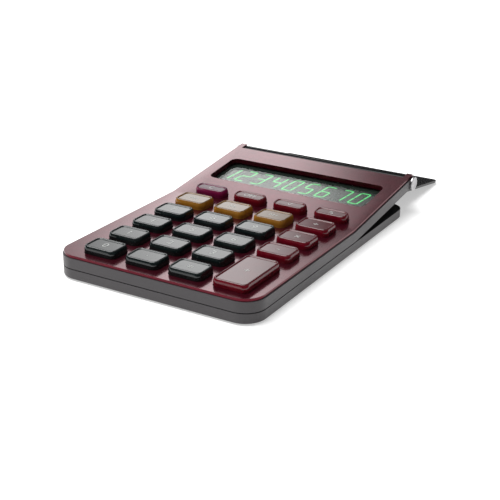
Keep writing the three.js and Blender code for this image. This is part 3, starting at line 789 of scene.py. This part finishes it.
def make_mat(mat_name, placing):
    low, high = box_in(mat_name, placing)
    sheet_top = low.z + SHEET_THICKNESS
    make_mat_sheet(mat_name, placing, sheet_top)
    profile = dome_profile(*DOME_RADII[mat_name], high.z - sheet_top)
    spots = {name: spot for name, (key_placing, spot) in key_tops.items() if key_placing is placing}
    for name, spot in spots.items():
        bm = turned(profile, DOME_TURN_STEPS)
        foot = placing @ Vector((spot.x, spot.y, sheet_top))
        bmesh.ops.transform(bm, matrix=Matrix.Translation(foot) @ placing, verts=bm.verts)
        dome = place(f"{name}_dome", bm, "root", MAT, [mat_name])
        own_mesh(dome)
    print(mat_name, "domes:", len(spots))


make_mat("key_mat", LEVEL)
make_mat("panel_key_mat", PANEL)

# %% [markdown]
# ## Key legends
# The marks on a key are printed in the dish. A text object gives the outline of a figure for free;
# it becomes a mesh before it is moved, so that the finished piece has its place in its points.

# %% Legends
INK = glossy("legend ink", (0.3, 0.31, 0.3), Roughness=0.35)
LEGENDS = {
    "key_0": "0", "key_point": ".", "key_equals": "=", "key_plus": "+",
    "key_1": "1", "key_2": "2", "key_3": "3",
    "key_4": "4", "key_5": "5", "key_6": "6", "key_minus": "-",
    "key_7": "7", "key_8": "8", "key_9": "9", "key_times": "×",
    "key_memory_recall": "MR", "key_memory_minus": "M-", "key_memory_plus": "M+", "key_divide": "÷",
    "key_clear": "C", "key_off": "OFF", "key_root": "√", "key_percent": "%",
}
LEGEND_THICKNESS = 0.02 * MM
LEGEND_SIZE = 3.9 * MM
SMALL_LEGEND_SIZE = 2.7 * MM  # for words, and for the low keys of the panel
LEGEND_CURVE_STEPS = 4


def figure_mesh(text, size):
    curve = bpy.data.curves.new(text, "FONT")
    curve.body = text
    curve.size = size
    curve.extrude = LEGEND_THICKNESS / 2
    curve.align_x = "CENTER"
    curve.align_y = "CENTER"
    curve.resolution_u = LEGEND_CURVE_STEPS
    holder = bpy.data.objects.new(text, curve)
    bpy.context.collection.objects.link(holder)
    graph = bpy.context.evaluated_depsgraph_get()
    bm = bmesh.new()
    bm.from_mesh(holder.evaluated_get(graph).to_mesh())
    bpy.data.objects.remove(holder)
    bpy.data.curves.remove(curve)
    bmesh.ops.remove_doubles(bm, verts=bm.verts, dist=TOUCHING)
    return bm


for name, text in LEGENDS.items():
    placing, spot = key_tops[name]
    is_large = len(text) == 1 and placing is LEVEL
    bm = figure_mesh(text, LEGEND_SIZE if is_large else SMALL_LEGEND_SIZE)
    xs = [vertex.co.x for vertex in bm.verts]
    ys = [vertex.co.y for vertex in bm.verts]
    centre = Vector(((min(xs) + max(xs)) / 2, (min(ys) + max(ys)) / 2, -LEGEND_THICKNESS))
    bmesh.ops.transform(bm, matrix=placing @ Matrix.Translation(spot - centre), verts=bm.verts)
    place(f"legend_{name.removeprefix('key_')}", bm, name, INK)
print("legends:", len(LEGENDS))

# %% [markdown]
# ## Display
# Behind the clear lens lies a dark glass with lit digits. A lens this thin hardly bends light: it
# is clear from above and turns to a pale mirror at a low angle. So it isn't traced as solid glass.
# It is a mirror whose Alpha rises from almost nothing as the view grazes it, which Layer Weight
# measures, and the digits stay sharp behind it.

# %% Display glass and lens
GLASS = glossy(
    "display glass", (0.012, 0.02, 0.016), Roughness=0.25, Film=0.0, Specular_IOR_Level=0.1
)
LENS_SHEEN = 0.75
LENS_HEAD_ON = 0.02
LENS_FALLOFF = 5.0


def make_lens_material():
    material = glossy(
        "lens acrylic", (0.95, 0.97, 0.95), Roughness=0.06, Film=0.0, Smear=0.05, Metallic=1.0
    )
    tree = material.node_tree
    facing = node(tree, "ShaderNodeLayerWeight", Blend=0.5).outputs["Facing"]
    grazing = calculate(tree, "POWER", facing, LENS_FALLOFF)
    sheen = calculate(tree, "MULTIPLY_ADD", grazing, LENS_SHEEN, LENS_HEAD_ON)
    feed(tree, sheen, tree.nodes["Principled BSDF"].inputs["Alpha"])
    return material


refinish("display_glass", GLASS)
refinish("display_lens", make_lens_material())
print("display: glass and lens finished in place")

# %% [markdown]
# Each digit is made of seven bars that give their own light. A bar is a flat stick with pointed
# ends, so two bars meet in a clean mitre. The digits lean, and the lean is a shear that is put on
# the whole digit at once.

# %% Digit glow
GLOW_STRENGTH = 0.46
UNLIT_COLOR = (0.02, 0.2, 0.05, 1)
GLOW_SCALE = 700.0
GLOW_STOPS = ((0.3, (0.05, 0.75, 0.16, 1)), (0.7, (0.12, 1.0, 0.28, 1)))


def make_digit_glow():
    material, tree, shader = new_material("digit glow")
    feed(tree, UNLIT_COLOR, shader.inputs["Base Color"])
    feed(tree, GLOW_STRENGTH, shader.inputs["Emission Strength"])
    ramp = node(tree, "ShaderNodeValToRGB")
    for stop, (position, color) in zip(ramp.color_ramp.elements, GLOW_STOPS):
        stop.position = position
        stop.color = color
    feed(tree, noise(tree, object_point(tree), GLOW_SCALE, Detail=2.0), ramp.inputs["Fac"])
    feed(tree, ramp.outputs["Color"], shader.inputs["Emission Color"])
    return material


DIGIT_GLOW = make_digit_glow()
print("finish:", DIGIT_GLOW.name)

# %% One digit
DIGIT_HEIGHT = 8.6 * MM
DIGIT_WIDTH = 3.5 * MM
DIGIT_THICKNESS = 0.04 * MM
BAR = 0.65 * MM
BAR_GAP = 0.07 * MM
BAR_POINT = 0.48 * BAR
SEGMENTS = {
    "0": "abcdef", "1": "bc", "2": "abged", "3": "abgcd",
    "4": "fgbc", "5": "afgcd", "6": "afgedc", "7": "abc",
}
ALONG, UP = Vector((DIGIT_WIDTH / 2, 0, 0)), Vector((0, DIGIT_HEIGHT / 2, 0))
BAR_ENDS = {
    "a": (UP - ALONG, UP + ALONG),
    "b": (ALONG, ALONG + UP),
    "c": (ALONG - UP, ALONG),
    "d": (-ALONG - UP, ALONG - UP),
    "e": (-ALONG - UP, -ALONG),
    "f": (-ALONG, UP - ALONG),
    "g": (-ALONG, ALONG),
}


def bar_blank(start, end):
    """A stick with pointed ends, from one corner of the digit to the next."""
    along = end - start
    bm = slab(along.length - 2 * BAR_GAP, BAR, DIGIT_THICKNESS)
    bevel(bm, upright_edges(bm), BAR_POINT, segments=1)
    turn = Matrix.Rotation(math.atan2(along.y, along.x), 4, "Z")
    bmesh.ops.transform(bm, matrix=Matrix.Translation((start + end) / 2) @ turn, verts=bm.verts)
    return bm


def digit_blank(figure):
    digit = bmesh.new()
    for bar in SEGMENTS[figure]:
        bm = bar_blank(*BAR_ENDS[bar])
        scratch = bpy.data.meshes.new("bar")
        bm.to_mesh(scratch)
        bm.free()
        digit.from_mesh(scratch)
        bpy.data.meshes.remove(scratch)
    return digit


# %% The row of digits
DISPLAY_TEXT = "123405670"
DIGIT_LEAN = math.radians(11)
DIGIT_PITCH = 6.55 * MM
DIGITS_LEFT = 1.5 * MM
DIGITS_BACK_MARGIN = 4.2 * MM

lean = Matrix.Identity(4)
lean[0][1] = math.tan(DIGIT_LEAN)
_, glass_high = box_in("display_glass", PANEL)
digits_middle = glass_high.y - DIGITS_BACK_MARGIN - DIGIT_HEIGHT / 2
for number, figure in enumerate(DISPLAY_TEXT):
    x = (number - (len(DISPLAY_TEXT) - 1) / 2) * DIGIT_PITCH - DIGITS_LEFT
    spot = Vector((x, digits_middle, glass_high.z + DIGIT_THICKNESS))
    bm = digit_blank(figure)
    bmesh.ops.transform(bm, matrix=PANEL @ Matrix.Translation(spot) @ lean, verts=bm.verts)
    place(f"digit_{number + 1}", bm, "root", DIGIT_GLOW)
print("digits:", len(DISPLAY_TEXT))

# %% [markdown]
# ## Cover and hinge caps
# The cover is a thin flap hung from a long barrel, and its measured shape is right, so it only
# needs softer corners. The caps on the hinge's ends are turned parts that catch the light, so
# they are spun afresh, with a rounded edge, a shallow dimple and many more steps than the
# measured model has.

# %% Cover
flap = join_flats(merged_copy("display_cover"))
soften(flap, EDGE_ROUNDING)
place("display_cover_shell", flap, "display_cover", COVER, ["display_cover"])

# %% Hinge caps
HINGE = Vector(joints["open_cover"]["pos_m"])
CAP_STUB_RADIUS = 1.2 * MM
CAP_THICKNESS = 0.6 * MM
CAP_ROUNDING = 0.18 * MM
CAP_ROUNDING_STEPS = 4
CAP_DIMPLE = 0.08 * MM
CAP_DIMPLE_RIM, CAP_DIMPLE_FLOOR = 0.72, 0.66  # shares of the cap's radius
CAP_TURN_STEPS = 64


def cap_profile(radius, inner, outer):
    """A stub that goes into the hinge, then a disc with a rounded edge and a dimple."""
    back = outer - CAP_THICKNESS
    points = [(0, inner), (CAP_STUB_RADIUS, inner), (CAP_STUB_RADIUS, back), (radius, back)]
    for step in range(CAP_ROUNDING_STEPS + 1):
        turn = math.pi / 2 * step / CAP_ROUNDING_STEPS
        in_by = CAP_ROUNDING * (1 - math.cos(turn))
        points.append((radius - in_by, outer - CAP_ROUNDING * (1 - math.sin(turn))))
    floor = outer - CAP_DIMPLE
    points += [(radius * CAP_DIMPLE_RIM, outer), (radius * CAP_DIMPLE_FLOOR, floor), (0, floor)]
    return points


for side, name in ((1, "hinge_cap_right"), (-1, "hinge_cap_left")):
    low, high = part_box(name)
    inner, outer = sorted((abs(low.x), abs(high.x)))
    bm = turned(cap_profile((high.z - low.z) / 2, inner, outer), CAP_TURN_STEPS)
    onto_hinge = Matrix.Translation((0, HINGE.y, HINGE.z)) @ Matrix.Rotation(side * math.pi / 2, 4, "Y")
    bmesh.ops.transform(bm, matrix=onto_hinge, verts=bm.verts)
    place(f"{name}_turned", bm, "root", CAP, [name])
print("hinge caps: 2")

# %% [markdown]
# ## Studio
# A pale floor and one large soft light, so the only shadow is a faint one close to the object.
# The floor gives a little light of its own, as paper lit from all round does, and that keeps it
# an even white.

# %% Floor
FLOOR_HALF = 3
FLOOR_BELOW = 0.01 * MM
PAPER_GRAY = 0.66
PAPER_GLOW = 0.48
PAPER_ROUGHNESS = 0.9


def make_floor():
    bm = bmesh.new()
    bmesh.ops.create_grid(bm, x_segments=1, y_segments=1, size=FLOOR_HALF)
    bmesh.ops.translate(bm, vec=(0, 0, cad_box[0].z - FLOOR_BELOW), verts=bm.verts)
    mesh = bpy.data.meshes.new("floor")
    bm.to_mesh(mesh)
    bm.free()
    material, tree, shader = new_material("floor paper")
    feed(tree, (PAPER_GRAY, PAPER_GRAY, PAPER_GRAY, 1), shader.inputs["Base Color"])
    feed(tree, PAPER_ROUGHNESS, shader.inputs["Roughness"])
    feed(tree, (1, 1, 1, 1), shader.inputs["Emission Color"])
    feed(tree, PAPER_GLOW, shader.inputs["Emission Strength"])
    mesh.materials.append(material)
    floor = bpy.data.objects.new("floor", mesh)
    bpy.context.collection.objects.link(floor)
    print("floor at height:", round(cad_box[0].z - FLOOR_BELOW, 6))


make_floor()

# %% Soft light
LIGHT_PLACE = Vector((-0.3, -0.15, 0.88))
LIGHT_SIZE = 0.9
LIGHT_POWER = 16


def make_soft_light():
    data = bpy.data.lights.new("soft_top", "AREA")
    data.shape = "SQUARE"
    data.size = LIGHT_SIZE
    data.energy = LIGHT_POWER
    lamp = bpy.data.objects.new("soft_top", data)
    bpy.context.collection.objects.link(lamp)
    aim = (-LIGHT_PLACE).to_track_quat("-Z", "Y")
    lamp.matrix_world = Matrix.Translation(LIGHT_PLACE) @ aim.to_matrix().to_4x4()
    print("soft light, watts:", LIGHT_POWER)


make_soft_light()

# %% [markdown]
# Gloss shows whatever stands behind the object, so the surround draws the sheen, and not a lamp.
# The sky is dim, and darker still towards the horizon, so the black cover stays black. A tall
# pale panel stands behind the left shoulder of the object. It ends softly on both sides, and its
# reflection is the sheen that crosses the keys and sinks into burgundy towards the hinge.

# %% Surround
SHEEN_LIGHT = 2.75
SHEEN_EDGES = (115.3, 121.5, 123.5, 132.5)  # degrees round from +X: starts, full, full, faded
SHEEN_FADED = 0.25
SHEEN_HEIGHTS = (10.0, 17.0, 28.0, 43.0)  # degrees up: starts, full, full, ends
SKY_HORIZON, SKY_HIGH = 0.03, 0.27
SKY_HEIGHTS = (8.0, 50.0)  # degrees up: darkest, brightest


def smooth_step(tree, source, start, end, low, high):
    return map_range(tree, source, start, end, low, high, curve="SMOOTHSTEP")


def make_surround():
    world = bpy.data.worlds.new("studio")
    bpy.context.scene.world = world
    world.use_nodes = True
    tree = world.node_tree
    split = node(tree, "ShaderNodeSeparateXYZ")
    feed(tree, node(tree, "ShaderNodeTexCoord").outputs["Generated"], split.inputs["Vector"])
    up = split.outputs["Z"]
    turn = calculate(tree, "ARCTAN2", split.outputs["Y"], split.outputs["X"])
    around = [math.radians(angle) for angle in SHEEN_EDGES]
    heights = [math.sin(math.radians(angle)) for angle in SHEEN_HEIGHTS]
    sheen = smooth_step(tree, turn, around[0], around[1], 0.0, 1.0)
    for ramp in (
        smooth_step(tree, turn, around[2], around[3], 1.0, SHEEN_FADED),
        smooth_step(tree, up, heights[0], heights[1], 0.0, 1.0),
        smooth_step(tree, up, heights[2], heights[3], 1.0, 0.0),
    ):
        sheen = calculate(tree, "MULTIPLY", sheen, ramp)
    darkest, brightest = (math.sin(math.radians(angle)) for angle in SKY_HEIGHTS)
    sky = smooth_step(tree, up, darkest, brightest, SKY_HORIZON, SKY_HIGH)
    background = tree.nodes["Background"]
    total = calculate(tree, "MULTIPLY_ADD", sheen, SHEEN_LIGHT, sky)
    feed(tree, total, background.inputs["Strength"])
    feed(tree, (1, 1, 1, 1), background.inputs["Color"])
    print("surround: sheen", SHEEN_LIGHT, "sky up to", SKY_HIGH)


make_surround()
bpy.context.scene.view_settings.view_transform = "Standard"
